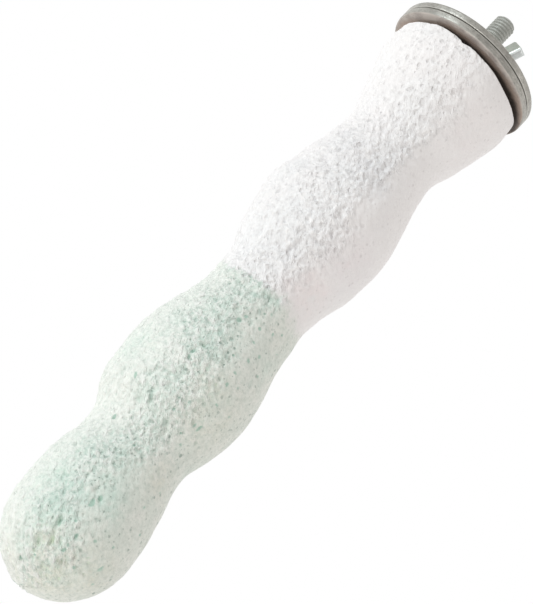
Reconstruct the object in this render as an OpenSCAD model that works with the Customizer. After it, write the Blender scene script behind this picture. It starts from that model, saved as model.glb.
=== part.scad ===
// Cage perch: a wavy cast mineral stick on a wooden dowel, held to the cage by
// one bolt, two large washers and a wing nut. The bolt lies along Y, the tip of
// the stick points to -Y, and the origin is on the bolt axis in the gap between
// the washers, where the cage wires are gripped. Lengths are millimetres.

/* [Casting] */
// Length of the casting from its end face to the tip
cast_len = 180; // [160:1:200]
// Distance from one thick part of the stick to the next
wave_pitch = 53; // [50:0.5:56]
// Radius halfway between the thick and thin parts
wave_mid_r = 16; // [15:0.1:17]
// How far the radius swings either side of that
wave_swing = 2.4; // [1:0.1:3]
// Where the first thick part lies, from the end face
wave_start = 3.5; // [0:0.5:8]
// Extra radius of the flared end next to the washers
flare = 1.1; // [0:0.1:2]
// Radius that the rounded tip bulge is short of a full thick part
tip_short = 1.2; // [0:0.1:2]
// Length of the rounded nose
nose_len = 21; // [16:1:26]
// Gap between the middle of the end face and the inner washer
end_gap = 1.45; // [1.2:0.05:3]
// How far the stick leans off the bolt, in degrees
lean = 2.4; // [0:0.1:3]
// Which way it leans, seen along the bolt from the tip, from +X towards +Z
lean_dir = -21; // [-180:1:180]

/* [Colours of the pour] */
// Distance from the end face to the change of colour, on the axis
pour_at = 81.5; // [70:0.5:95]
// Slope of the surface where the two pours meet
pour_slope = 13; // [0:1:30]
// Direction in which the white pour reaches furthest along the stick
pour_dir = 69; // [0:1:360]

/* [Core] */
// Radius of the wooden dowel
dowel_r = 6; // [5:0.5:7]
// Distance from the end face to the start of the dowel
dowel_from = 6.5; // [6:0.5:10]
// Distance from the end face to the end of the dowel
dowel_to = 158; // [120:1:162]

/* [Bolt] */
// Radius of the bolt
bolt_r = 3; // [2.5:0.5:4]
// How far the bolt reaches behind the gap between the washers
bolt_out = 19; // [17:0.5:24]
// Length of the wood thread below the shoulder
wood_thread_len = 32; // [20:1:40]
// Radius of the shoulder that the inner washer bears on
shoulder_r = 5; // [4:0.5:6]
// Length of the shoulder
shoulder_len = 6.4; // [4:0.1:7]

/* [Washers] */
// Outer radius of each washer
washer_r = 21; // [19:0.5:23]
// Thickness of each washer
washer_t = 2; // [1.5:0.1:2.5]
// Radius of the hole in each washer
washer_hole_r = 3.25; // [3.1:0.05:3.6]
// Gap between the washers when the nut is home
wire_gap = 0.3; // [0.3:0.1:3]

/* [Wing nut] */
// Height of the round middle of the nut
boss_h = 6.5; // [5:0.5:8]
// Radius of the middle at the washer
boss_r = 6.2; // [5.5:0.1:7]
// Radius of the nut's bore
nut_hole_r = 3.05; // [3.05:0.01:3.1]
// Thickness of the wings
wing_t = 2.9; // [2:0.1:3.2]
// Angle of the wings round the bolt when the nut is home
wing_turn = 30; // [0:1:180]

/* [Hidden] */

// running gaps along the bolt
slack = 0.2;
// faces along Y
inner_front = -wire_gap / 2 - washer_t;
outer_back = wire_gap / 2 + washer_t;
nut_from = outer_back + slack;
shoulder_to = inner_front - slack;
end_at = inner_front - end_gap;

// height of a blend from 0 to 1 as t goes from a to b
function rise(t, a, b) =
    let (q = min(1, max(0, (t - a) / (b - a)))) q * q * (3 - 2 * q);

// radius of the wavy part at distance s from the end face
function wave_r(s) =
    wave_mid_r + wave_swing * cos(360 * (s - wave_start) / wave_pitch)
    + flare * exp(-pow(s / 11, 2))
    - tip_short * rise(s, 130, 158);

// the end edge is worn round over its last millimetre and a half
function edge_cut(s) = s < 1.5 ? 1.5 - sqrt(1.5 * 1.5 - pow(1.5 - s, 2)) : 0;

nose_from = cast_len - nose_len;

// outline of the stick: the flank, then a nose that closes as an ellipse
flank = [for (s = [0, 0.1, 0.3, 0.6, 1, 1.5]) [wave_r(s) - edge_cut(s), s]];
waves = [for (i = [1 : 64]) let (s = 1.5 + i * (nose_from - 1.5) / 64) [wave_r(s), s]];
nose = [for (i = [1 : 14]) let (a = i * 90 / 14)
            [wave_r(nose_from + nose_len * sin(a) * 0.35) * pow(cos(a), 0.92),
             nose_from + nose_len * sin(a)]];

module stick_outline() {
    polygon(concat([[0, 0]], flank, waves,
                   [for (i = [0 : 12]) nose[i]], [[0, cast_len]]));
}

// everything that follows the leaning axis of the stick: local +Z runs from
// the end face to the tip
module on_stick() {
    translate([0, end_at, 0])
        rotate(a = lean, v = [-sin(lean_dir), 0, cos(lean_dir)])
            rotate([90, 0, 0])
                children();
}

// a cylinder along the bolt from y0 to y1
module along(r, y0, y1) {
    translate([0, y0, 0]) rotate([-90, 0, 0]) cylinder(r = r, h = y1 - y0, $fn = 96);
}

// the half of space on the white side of the pour, in the stick's own axes
module white_side() {
    translate([0, 0, pour_at])
        rotate(a = pour_slope, v = [sin(pour_dir), -cos(pour_dir), 0])
            translate([-60, -60, -200]) cube([120, 120, 200]);
}

module stick() {
    rotate_extrude($fn = 120) stick_outline();
}

module dowel_space() {
    translate([0, 0, dowel_from]) cylinder(r = dowel_r, h = dowel_to - dowel_from, $fn = 96);
}

module white_casting() {
    color([0.95, 0.94, 0.93]) difference() {
        on_stick() difference() {
            intersection() { stick(); white_side(); }
            dowel_space();
        }
        along(shoulder_r, shoulder_to - shoulder_len, end_at + 10);
        along(bolt_r, shoulder_to - shoulder_len - 3, shoulder_to);
    }
}

module mint_casting() {
    color([0.78, 0.9, 0.83]) on_stick() difference() {
        stick();
        white_side();
        dowel_space();
    }
}

module core_dowel() {
    color([0.78, 0.62, 0.42]) difference() {
        on_stick() dowel_space();
        along(bolt_r, shoulder_to - shoulder_len - wood_thread_len, shoulder_to);
    }
}

// turned about the bolt axis: shank, pointed wood thread, shoulder, and the
// long outer end with its chamfer
module hanger_bolt() {
    low = shoulder_to - shoulder_len;
    color([0.62, 0.63, 0.62]) union() {
        along(bolt_r, low - wood_thread_len + 6, bolt_out - 0.7);
        translate([0, bolt_out - 0.7, 0]) rotate([-90, 0, 0])
            cylinder(r1 = bolt_r, r2 = bolt_r - 0.7, h = 0.7, $fn = 96);
        translate([0, low - wood_thread_len + 6, 0]) rotate([90, 0, 0])
            cylinder(r1 = bolt_r, r2 = 0.3, h = 5.5, $fn = 96);
        along(shoulder_r, low, shoulder_to);
    }
}

// flat ring with broken edges, lying between y0 and y0 + washer_t
module washer(y0) {
    c = 0.35;
    translate([0, y0, 0]) rotate([-90, 0, 0]) difference() {
        rotate_extrude($fn = 120) polygon([
            [0, 0], [washer_r - c, 0], [washer_r, c],
            [washer_r, washer_t - c], [washer_r - c, washer_t], [0, washer_t]]);
        translate([0, 0, -1]) cylinder(r = washer_hole_r, h = washer_t + 2, $fn = 96);
    }
}

module inner_washer() { color([0.6, 0.6, 0.58]) washer(inner_front); }
module outer_washer() { color([0.56, 0.56, 0.54]) washer(wire_gap / 2); }

// points of an arc about c
function bend(c, r, a0, a1, n = 6) =
    [for (i = [0 : n]) let (a = a0 + (a1 - a0) * i / n) [c[0] + r * cos(a), c[1] + r * sin(a)]];

// one wing seen flat: radius from the bolt axis, height above the washer
wing_outline = concat(
    [[3.8, 0.5], [7.4, 0.5]],
    bend([6.6, 4.0], 3.5, -75, -35),
    bend([12.2, 7.75], 0.8, -33, 72),
    bend([9.6, 9.1], 0.7, 72, 150),
    bend([5.5, 8.4], 2.6, -25, -88),
    [[3.8, 5.6]]);

module wing() {
    rotate([90, 0, 0]) translate([0, 0, -wing_t / 2]) linear_extrude(wing_t) polygon(wing_outline);
}

// drawn with the bolt along Z, then laid down along Y
module wing_nut() {
    color([0.66, 0.67, 0.65])
    translate([0, nut_from, 0]) rotate([0, -wing_turn, 0]) rotate([-90, 0, 0]) difference() {
        union() {
            rotate_extrude($fn = 96) polygon([
                [0, 0], [boss_r - 0.3, 0], [boss_r, 0.3], [boss_r, 1.2],
                [boss_r - 1.2, boss_h - 0.4], [boss_r - 1.6, boss_h], [0, boss_h]]);
            wing();
            rotate([0, 0, 180]) wing();
        }
        translate([0, 0, -1]) cylinder(r = nut_hole_r, h = boss_h + 2, $fn = 96);
    }
}

white_casting();
mint_casting();
core_dowel();
hanger_bolt();
inner_washer();
outer_washer();
wing_nut();
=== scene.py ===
"""Looks of a cage perch: a wavy cast mineral stick, half white and half mint, on a
bolt with two large washers and a wing nut. Lengths in the tables are millimetres."""

import math
from concurrent.futures import ThreadPoolExecutor

import bpy
import numpy as np
from mathutils import Matrix, Vector


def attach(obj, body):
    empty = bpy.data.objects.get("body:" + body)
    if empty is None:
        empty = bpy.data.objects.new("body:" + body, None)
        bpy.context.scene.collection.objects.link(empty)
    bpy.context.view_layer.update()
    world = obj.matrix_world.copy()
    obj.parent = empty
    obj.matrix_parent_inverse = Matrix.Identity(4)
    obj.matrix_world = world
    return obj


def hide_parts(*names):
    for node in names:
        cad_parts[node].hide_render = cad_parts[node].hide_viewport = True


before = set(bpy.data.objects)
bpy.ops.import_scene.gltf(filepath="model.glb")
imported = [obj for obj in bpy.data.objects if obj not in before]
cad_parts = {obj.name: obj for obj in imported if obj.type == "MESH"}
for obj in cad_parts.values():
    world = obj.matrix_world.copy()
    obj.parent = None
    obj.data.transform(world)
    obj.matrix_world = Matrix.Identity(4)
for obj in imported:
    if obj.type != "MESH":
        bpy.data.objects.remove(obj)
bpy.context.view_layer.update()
MM = 0.001
# fewer rows and columns while trying things out
COARSE = 1


def unit(v):
    v = np.array(v, float)
    return v / np.linalg.norm(v)


# ---------------------------------------------------------------- camera

BACK = unit((0.3224, -0.3959, 0.8599))
RIGHT = unit((0.7754, 0.6315, 0.0))
UP = np.cross(BACK, RIGHT)
CAMERA_AT = np.array((295.53, -443.75, 775.32)) * MM
FOCAL_PX = 3603.9
FRAME_HIGH = 604.0


def make_camera():
    data = bpy.data.cameras.new("camera")
    data.sensor_fit = "VERTICAL"
    data.sensor_width = data.sensor_height = 36.0
    data.lens = FOCAL_PX / FRAME_HIGH * 36.0
    data.clip_start, data.clip_end = 0.05, 30.0
    camera = bpy.data.objects.new("camera", data)
    m = Matrix.Identity(4)
    for row in range(3):
        m[row][0], m[row][1], m[row][2] = RIGHT[row], UP[row], BACK[row]
        m[row][3] = CAMERA_AT[row]
    camera.matrix_world = m
    bpy.context.scene.collection.objects.link(camera)
    bpy.context.scene.camera = camera
    return camera


# ---------------------------------------------------------------- noise

def scramble(ix, iy, iz, seed):
    """A 32-bit hash of three whole numbers."""
    h = (ix.astype(np.int32).view(np.uint32) * np.uint32(0x8DA6B343)
         ^ iy.astype(np.int32).view(np.uint32) * np.uint32(0xD8163841)
         ^ iz.astype(np.int32).view(np.uint32) * np.uint32(0xCB1AB31F)
         ^ np.uint32((seed * 0x9E3779B1) & 0xFFFFFFFF))
    h ^= h >> np.uint32(16)
    h *= np.uint32(0x7FEB352D)
    h ^= h >> np.uint32(15)
    h *= np.uint32(0x846CA68B)
    h ^= h >> np.uint32(16)
    return h


def thirds(h):
    """Three numbers from 0 to 1 out of a hash."""
    x = (h & np.uint32(1023)).astype(np.float32) / np.float32(1023)
    y = ((h >> np.uint32(10)) & np.uint32(2047)).astype(np.float32) / np.float32(2047)
    z = (h >> np.uint32(21)).astype(np.float32) / np.float32(2047)
    return x, y, z


def again(h, part):
    """A fresh hash from a hash."""
    g = h + np.uint32(part * 0x632BE5AB & 0xFFFFFFFF)
    g *= np.uint32(0x9E3779B1)
    g ^= g >> np.uint32(15)
    g *= np.uint32(0x85EBCA77)
    g ^= g >> np.uint32(13)
    return g


def noise(p, size, seed):
    """Smooth noise of about -1 to 1 at the points p, with bumps about size wide."""
    q = (p / size).astype(np.float32)
    base = np.floor(q)
    f = q - base
    w = f * f * f * (f * (f * 6 - 15) + 10)
    out = np.zeros(len(p), np.float32)
    for cx in (0, 1):
        wx = w[:, 0] if cx else 1 - w[:, 0]
        for cy in (0, 1):
            wxy = wx * (w[:, 1] if cy else 1 - w[:, 1])
            for cz in (0, 1):
                gx, gy, gz = thirds(scramble(base[:, 0] + cx, base[:, 1] + cy, base[:, 2] + cz, seed))
                dot = ((gx * 2 - 1) * (f[:, 0] - cx) + (gy * 2 - 1) * (f[:, 1] - cy)
                       + (gz * 2 - 1) * (f[:, 2] - cz))
                out += wxy * (w[:, 2] if cz else 1 - w[:, 2]) * dot
    return out * np.float32(1.6)


def layers(p, size, seed, n=3, fall=0.5):
    total, scale = 0.0, 1.0
    for k in range(n):
        total = total + scale * noise(p, size / 2 ** k, seed + 17 * k)
        scale *= fall
    return total


def smooth(x, a, b):
    q = np.clip((x - a) / (b - a), 0, 1)
    return q * q * (3 - 2 * q)


def scoops(p, size, level, low, high, seed, long=0.0, along=(0, 0, 1), keen=1.0):
    """Hollows scooped out at random: 1 at the bottom of a deep one, 0 away from them.
    level is the share of them that is there, low and high the range of their radii, and
    long how much they stretch towards along, at most 1."""
    q = (p / size).astype(np.float32)
    base = np.floor(q)
    deep = np.zeros(len(p), np.float32)
    for dx in (-1, 0, 1):
        for dy in (-1, 0, 1):
            for dz in (-1, 0, 1):
                cx, cy, cz = base[:, 0] + dx, base[:, 1] + dy, base[:, 2] + dz
                h = scramble(cx, cy, cz, seed)
                ax, ay, az = thirds(h)
                vx, vy, vz = (q[:, 0] - cx - ax) * size, (q[:, 1] - cy - ay) * size, (q[:, 2] - cz - az) * size
                big, there, bottom = thirds(again(h, 3))
                r = low + (high - low) * big * big
                far = vx * vx + vy * vy + vz * vz
                if long:
                    ux, uy, uz = thirds(again(h, 4))
                    ux, uy, uz = along[0] + (ux - 0.5) * 1.3, along[1] + (uy - 0.5) * 1.3, along[2] + (uz - 0.5) * 1.3
                    on = vx * ux + vy * uy + vz * uz
                    far = far - long * on * on / (ux * ux + uy * uy + uz * uz)
                bowl = np.clip(1 - far / (r * r), 0, 1) ** keen
                bowl *= (0.45 + 0.55 * bottom) * np.clip((level - there) / 0.10, 0, 1)
                np.maximum(deep, bowl, out=deep)
    return deep


def in_threads(work, *arrays):
    """Runs work on slices of the arrays side by side and joins what it returns."""
    n = len(arrays[0])
    step = 30000
    with ThreadPoolExecutor(4) as pool:
        parts = list(pool.map(lambda k: work(*(x[k:k + step] for x in arrays)), range(0, n, step)))
    return [np.concatenate(x) for x in zip(*parts)]


# ---------------------------------------------------------------- meshes

def mesh_object(name, points, faces, flat=()):
    """A closed object from points in millimetres, with its faces turned outward.
    faces is a list of arrays, each of faces with the same number of corners.
    flat gives the faces whose edges are all sharp."""
    points = np.asarray(points, float)
    volume = 0.0
    for f in faces:
        a = points[f[:, 0]]
        for k in range(1, f.shape[1] - 1):
            volume += float((a * np.cross(points[f[:, k]], points[f[:, k + 1]])).sum())
    if volume < 0:
        faces = [f[:, ::-1] for f in faces]
    mesh = bpy.data.meshes.new(name)
    sides = np.concatenate([np.full(len(f), f.shape[1]) for f in faces])
    mesh.vertices.add(len(points))
    mesh.vertices.foreach_set("co", (points * MM).astype(np.float32).ravel())
    mesh.loops.add(int(sides.sum()))
    mesh.loops.foreach_set("vertex_index", np.concatenate([f.ravel() for f in faces]).astype(np.int32))
    mesh.polygons.add(len(sides))
    mesh.polygons.foreach_set("loop_start", np.concatenate([[0], np.cumsum(sides)[:-1]]).astype(np.int32))
    mesh.polygons.foreach_set("use_smooth", np.ones(len(sides), bool))
    mesh.update(calc_edges=True)
    mesh.validate()
    if len(flat):
        edge_of = np.empty(len(mesh.loops), np.int32)
        mesh.loops.foreach_get("edge_index", edge_of)
        begin = np.concatenate([[0], np.cumsum(sides)])
        sharp = np.zeros(len(mesh.edges), bool)
        sharp[edge_of[begin[flat[0]]:begin[flat[-1] + 1]]] = True
        mesh.attributes.new("sharp_edge", "BOOLEAN", "EDGE").data.foreach_set("value", sharp)
    o = bpy.data.objects.new(name, mesh)
    bpy.context.scene.collection.objects.link(o)
    return o


def skin(rings, start=None, end=None, closed=False):
    """Points and faces of a surface through rings of points. A ring may hold half or twice as many points as
    the last. start and end are single points that close the first and last ring."""
    points, quads, triangles, first = [], [], [], []
    at = 0
    for r in rings:
        first.append(at)
        points.append(r)
        at += len(r)
    pairs = list(zip(range(len(rings) - 1), range(1, len(rings))))
    if closed:
        pairs.append((len(rings) - 1, 0))
    for a, b in pairs:
        na, nb, fa, fb = len(rings[a]), len(rings[b]), first[a], first[b]
        if na == nb:
            i = np.arange(na)
            j = (i + 1) % na
            quads.append(np.stack([fa + i, fa + j, fb + j, fb + i], 1))
        else:
            flip = nb > na
            if flip:
                na, nb, fa, fb = nb, na, fb, fa
            i = np.arange(nb)
            l, m, r = fa + 2 * i, fa + 2 * i + 1, fa + (2 * i + 2) % na
            p, q = fb + i, fb + (i + 1) % nb
            for t in ((l, m, p), (m, q, p), (m, r, q)):
                t = np.stack(t, 1)
                triangles.append(t[:, ::-1] if flip else t)
    for tip, ring, base, turned in ((start, rings[0], first[0], True), (end, rings[-1], first[-1], False)):
        if tip is None:
            continue
        points.append(np.array([tip]))
        i = np.arange(len(ring))
        j = (i + 1) % len(ring)
        t = np.stack([np.full(len(ring), at), base + (j if turned else i), base + (i if turned else j)], 1)
        triangles.append(t)
        at += 1
    faces = [np.concatenate(x) for x in (quads, triangles) if x]
    return np.concatenate(points), faces


def mark(o, **values):
    for name, v in values.items():
        a = o.data.attributes.new(name, "FLOAT", "POINT")
        a.data.foreach_set("value", np.asarray(v, np.float32))


# ---------------------------------------------------------------- the stick's shape

END_AT = np.array((0.0, -3.6, 0.0))
AXIS = unit((0.0391, -0.9991, -0.0150))
SIDE = unit(np.cross(AXIS, BACK))
FACING = np.cross(SIDE, AXIS)
LENGTH = 180.0
NOSE = 20.5
POUR_AT, POUR_SLOPE = 81.5, math.tan(math.radians(13))
POCKET_R, POCKET_FROM, POCKET_TO = 6.0, 6.5, 158.0
SHOULDER_R = 5.0

# distance from the end face, radius, and how far the middle lies to the side
OUTLINE = (
    (0.0, 19.35, -0.05), (6.4, 19.4, -0.2), (13.4, 17.75, -0.4), (20.3, 15.9, -0.5),
    (27.3, 13.9, -0.1), (34.3, 14.2, 0.25), (41.3, 15.8, 0.4), (48.3, 17.25, 0.3),
    (55.3, 18.55, 0.65), (62.2, 17.8, 0.5), (69.2, 16.6, 0.5), (76.2, 14.5, 0.15),
    (83.2, 13.7, 0.25), (90.2, 14.3, 0.25), (97.2, 15.75, 0.8), (104.1, 17.35, 0.9),
    (111.1, 18.4, 0.9), (118.1, 18.1, 0.7), (125.1, 17.0, 1.15), (132.1, 14.25, 0.2),
    (139.1, 14.1, -0.5), (146.1, 15.65, -0.55), (153.1, 16.7, -0.9), (160.0, 16.9, -1.35),
)

# the end edge: angle, and how far from the end face it lies
END_EDGE = (
    (-180, 0.6), (-110, 0.4), (-82, 0.4), (-62, 1.3), (-45, 1.5), (-30, 1.2), (-16, 0.85), (-4, 0.65),
    (7, 0.35), (12, 0.55), (16, 0.1), (21, -0.15), (30, -0.3), (48, -0.4), (60, -0.5), (69, 0.0),
    (78, 1.5), (90, 3.0), (104, 3.0), (125, 1.2), (150, 0.6), (180, 0.6),
)

# where the colours meet: angle, and distance from the end face
POUR_EDGE = (
    (-180, 78.6), (-125, 81.4), (-95, 84.0), (-68, 86.0), (-52, 87.0), (-36, 86.2), (-21, 85.3), (-7, 85.0),
    (7, 85.8), (18, 85.8), (34, 85.6), (50, 85.0), (65, 84.3), (90, 82.2), (130, 79.8), (180, 78.6),
)

# clouds of colour: distance from the end face, angle, size, strength
TEAL = ((88.5, 0, 3.6, 0.8), (87, -14, 2.4, 0.5), (91, 20, 3.4, 0.4), (104, 1, 3.0, 0.5), (109, 3, 4.0, 0.5),
        (138, -7, 3.2, 0.45), (144.8, 1, 4.2, 0.4), (150, 0, 4.2, 0.5), (156, -9, 5.0, 0.95), (171, -2, 1.8, 0.9), (160, 22, 8.0, 0.9), (149, 32, 6.5, 0.4),
        (101, -49, 2.6, 0.4), (118, 60, 5.0, 0.4), (98, 130, 5.0, 0.6), (135, 175, 6.0, 0.6), (160, 110, 5.0, 0.5))
STRAW = ((116, -20, 4.5, 0.6), (122, -26, 4.0, 0.4), (116, -40, 4.5, 0.4), (141, -39, 4.5, 0.6), (173, 12, 4.5, 0.9),
         (123, -42, 7.0, 0.6), (177, -20, 7.5, 1.0), (179, 60, 5.0, 0.6), (169, -32, 5.0, 0.5), (171, -50, 7.0, 0.8), (178, -42, 6.0, 0.8), (128, 150, 6.0, 0.5), (150, -120, 7.0, 0.4))
COOL = ((43, 0, 5.0, 0.9), (46, -12, 3.5, 0.7), (41, 29, 4.0, 0.5), (38, 48, 4.0, 0.4), (74, 9, 4.5, 0.5),
        (67, -48, 8.0, 0.8),
        (30, 150, 6.0, 0.5), (60, 120, 6.0, 0.5))
BLUSH = ((77, -33, 7.5, 0.8), (81, -9, 3.0, 0.7), (66, -40, 8.0, 0.6), (15, -40, 9.0, 0.3), (50, -150, 8.0, 0.4))

# long shallow dents: distance from the end face, angle, half length, half width, depth
DENTS = (
    (173.0, 19, 2.3, 0.95, 0.85), (166.9, 13, 2.2, 0.75, 0.65), (171.2, 8, 2.2, 0.95, 0.60), (177.6, 36, 1.1, 0.6, 0.50),
    (173.8, -11, 1.6, 0.45, 0.45), (173.4, -15, 1.8, 0.45, 0.50), (172.8, -19, 1.6, 0.45, 0.45), (171.0, -20, 1.4, 0.45, 0.40),
    (176.4, -4, 2.4, 0.9, 0.50), (165.3, 23, 1.6, 0.6, 0.45), (131.4, -12, 1.5, 0.8, 0.40), (133.4, -2, 1.4, 0.7, 0.40),
    (155.8, 4, 1.9, 0.75, 0.50), (157.3, -3, 1.3, 0.7, 0.45), (42.6, 5, 1.9, 0.8, 0.40), (45.1, -7, 1.6, 0.9, 0.40),
    (74.2, 10, 1.6, 0.9, 0.45), (38.2, 9, 2.6, 0.8, 0.40), (147.8, 12, 1.8, 0.7, 0.45), (109.5, 8, 1.7, 0.7, 0.45),
)

# small coloured hollows: distance from the end face, angle, half length, half width, strength, tilt
SPOTS = (
    (109.6, -24, 1.15, 0.50, 0.9, -20), (100.9, -34, 1.0, 0.45, 0.9, 60), (104.6, -44, 0.9, 0.40, 0.7, 15),
    (91.2, -42, 0.42, 0.40, 1.0, 0), (90.1, -17, 0.8, 0.5, 0.5, 80), (107.1, 34, 0.8, 0.5, 0.7, 70),
    (97.8, 1, 1.0, 0.7, 0.9, 50), (125.5, 37, 1.3, 0.55, 0.9, 85), (112.8, 12, 1.0, 0.55, 0.8, 40),
    (121.6, 67, 0.7, 0.5, 0.8, 30), (114.4, 12, 0.8, 0.5, 0.7, 90), (136.3, 40, 1.1, 0.5, 0.9, 65),
    (125.4, -36, 1.3, 0.50, 1.0, 32), (131.0, -35, 0.45, 0.4, 0.9, 0), (156.5, -2, 1.2, 0.7, 0.9, 75),
    (159.3, 1, 1.0, 0.6, 0.8, 20), (167.2, 12, 1.2, 0.6, 0.4, 70), (154.5, -55, 0.45, 0.4, 1.0, 0),
    (170.0, -7, 0.8, 0.4, 0.7, 80), (149.5, -40, 0.9, 0.45, 0.6, 30), (143.2, -48, 0.5, 0.35, 0.7, 0),
    (117.5, -46, 0.7, 0.4, 0.6, 50), (162.5, -38, 0.6, 0.4, 0.7, 70), (95.4, -52, 0.45, 0.35, 0.7, 0),
    (125.8, -31, 0.9, 0.40, 0.8, 45), (124.2, -5, 0.5, 0.5, 0.9, 0), (123.0, -13, 0.5, 0.5, 0.9, 0),
    (126.9, -7, 0.45, 0.45, 0.9, 0), (139.7, 4, 0.5, 0.5, 1.0, 0), (129.3, -27, 0.4, 0.4, 0.9, 0),
    (158.7, 1, 1.4, 0.8, 1.0, 60), (167.1, -7, 0.9, 0.55, 0.9, 60), (164.6, 2, 0.5, 0.5, 0.8, 0),
    (165.0, -22, 0.6, 0.5, 0.7, 0), (172.3, -28, 0.55, 0.5, 1.0, 0), (171.3, -7, 0.8, 0.5, 0.9, 10),
    (177.6, 36, 0.7, 0.6, 1.0, 60), (170.8, -60, 0.9, 0.40, 0.9, 15), (168.0, -47, 1.6, 0.5, 0.9, 25),
    (175.6, 14, 0.5, 0.4, 0.8, 0), (95.6, -1, 0.7, 0.50, 0.9, 60), (95.4, -18, 0.7, 0.55, 0.9, 30),
    (93.4, -33, 0.8, 0.45, 0.8, 40), (104.3, -27, 0.8, 0.5, 0.9, 70), (113.1, -25, 0.8, 0.45, 0.9, 40),
    (91.3, -12, 0.6, 0.45, 0.8, 0), (106.5, -14, 0.55, 0.45, 0.9, 0), (99.5, -22, 0.5, 0.45, 0.8, 0),
    (111.5, -35, 0.6, 0.40, 0.7, 30), (118.5, -30, 0.5, 0.4, 0.8, 0), (73.6, -20, 0.5, 0.4, 0.8, 0),
    (70.0, -38, 0.45, 0.4, 0.7, 0), (79.8, -24, 0.5, 0.4, 0.7, 0), (62.4, -34, 0.45, 0.4, 0.7, 0),
    (66.0, -30, 0.6, 0.40, 0.7, 40), (76.5, -31, 0.45, 0.4, 0.7, 0),
)

# faint folds: distance and angle at either end, height
FOLDS = ((138.6, -13, 133.4, -28, 0.26), (133.4, -28, 129.4, -39, 0.22), (136.6, -50, 131.6, -54, 0.34), (131.6, -54, 127.4, -56, 0.34))

# where the rough side gives way to the smooth one, below the line that faces the camera
ROUGH_EDGE = (
    (-5, -22), (2, -19), (8, -13), (17, -25), (32, -20), (44, -16), (50, -10), (59, -19), (68, -25), (76, -22), (87, -12),
    (98, -2), (107, -9), (115, -19), (124, -27), (133, -26), (141, -12), (148, -3), (158, 7), (164, -2), (169, -24), (175, -38), (181, -38),
)


def curve_through(table, column, t):
    """A smooth curve through one column of the table (a cubic between neighbours, with Catmull-Rom slopes)."""
    x = np.array([row[0] for row in table], float)
    y = np.array([row[column] for row in table], float)
    slope = np.gradient(y, x)
    i = np.clip(np.searchsorted(x, t) - 1, 0, len(x) - 2)
    h = x[i + 1] - x[i]
    u = np.clip((t - x[i]) / h, 0, 1)
    return (y[i] * (1 + 2 * u) * (1 - u) ** 2 + slope[i] * h * u * (1 - u) ** 2
            + y[i + 1] * u * u * (3 - 2 * u) + slope[i + 1] * h * u * u * (u - 1))


def degrees(angle):
    return (np.degrees(angle) + 180) % 360 - 180


def radius(t):
    r = curve_through(OUTLINE, 1, np.minimum(t, 160.0))
    k = np.clip((t - (LENGTH - NOSE)) / NOSE, 0, 1)
    return r * np.sqrt(np.maximum(1 - k ** 2.1, 0))


def middle(t):
    return curve_through(OUTLINE, 2, np.minimum(t, 160.0))


def out_from(angle):
    return np.cos(angle)[:, None] * FACING + np.sin(angle)[:, None] * SIDE


def on_stick(t, angle, r):
    """Points in the row frame. Angle 0 faces the camera, 90 degrees is the side that shows upper left."""
    t, angle, r = np.broadcast_arrays(t, angle, r)
    return END_AT + t[:, None] * AXIS + middle(t)[:, None] * SIDE + r[:, None] * out_from(angle)


def flank_normal(t, angle):
    """Outward direction of the plain outline."""
    ahead, behind = np.minimum(t + 0.05, LENGTH), np.maximum(t - 0.05, -1)
    along = on_stick(ahead, angle, radius(ahead)) - on_stick(behind, angle, radius(behind))
    around = np.cross(AXIS, out_from(angle))
    normal = np.cross(around, along)
    return normal / np.maximum(np.linalg.norm(normal, axis=1), 1e-9)[:, None]


def rough_share(p, t, angle):
    """1 on the rough side, 0 on the smooth one."""
    deg = degrees(angle)
    line = curve_through(ROUGH_EDGE, 1, t) + 4 * layers(p, 9, 301, 2)
    far = -158 + 6 * layers(p, 12, 302, 2)
    fray = 9 * noise(p, 2.6, 303) + 5 * noise(p, 1.3, 304)
    wide = 14 + 6 * smooth(t, 48, 60) + 3 * smooth(t, 84, 96)
    near_side = smooth(deg - line + fray, -wide, wide)
    near_side = np.maximum(near_side, 0.28 * smooth(deg - line + 1.6 * fray, -48, 4))
    far_side = smooth(far - deg + fray, -10, 9)
    # softer towards the flared end
    soft = 1 - 0.38 * (1 - smooth(t, 14, 34))
    return np.clip(near_side + far_side, 0, 1) * soft


def pour_line(angle):
    """Distance from the end face at which the colour changes, round the stick."""
    ring = np.stack([np.cos(angle) * 14, np.sin(angle) * 14, np.zeros_like(angle)], 1)
    return (curve_through(POUR_EDGE, 1, degrees(angle))
            + 0.5 * noise(ring, 3.6, 402) + 0.3 * noise(ring, 1.6, 403))


def cloud(table, p, t, angle):
    """Strength from 0 to 1 of the colour clouds in a table."""
    total = np.zeros(len(t))
    for at, deg, size, strong in table:
        d = degrees(angle - math.radians(deg)) * 0.28
        total = np.maximum(total, strong * np.exp(-((t - at) ** 2 + d ** 2) / size ** 2))
    return np.clip(total * (1 + 0.7 * noise(p, 3.2, 421) + 0.5 * noise(p, 1.3, 422)), 0, 1)


def dents(p):
    """1 at the bottom of the long dents, and their depth."""
    deep = np.zeros(len(p))
    for t, deg, long, wide, depth in DENTS:
        t, angle = np.array([float(t)]), np.radians([float(deg)])
        v = p - on_stick(t, angle, radius(t))[0]
        up = v @ (UP + 0.22 * RIGHT)
        far = (up / long) ** 2 + ((v - up[:, None] * (UP + 0.22 * RIGHT) / 1.05) ** 2).sum(1) / wide ** 2
        deep = np.maximum(deep, depth * np.clip(1 - far, 0, 1))
    return deep


def spots(p):
    """1 in the middle of the small coloured hollows."""
    deep = np.zeros(len(p))
    for t, deg, long, wide, strong, tilt in SPOTS:
        t, angle = np.array([float(t)]), np.radians([float(deg)])
        v = p - on_stick(t, angle, radius(t))[0]
        lie = math.cos(math.radians(tilt)) * RIGHT + math.sin(math.radians(tilt)) * UP
        on = v @ lie
        far = (on / long) ** 2 + ((v * v).sum(1) - on * on) / wide ** 2
        deep = np.maximum(deep, strong * np.clip(1 - far, 0, 1))
    return deep


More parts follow.
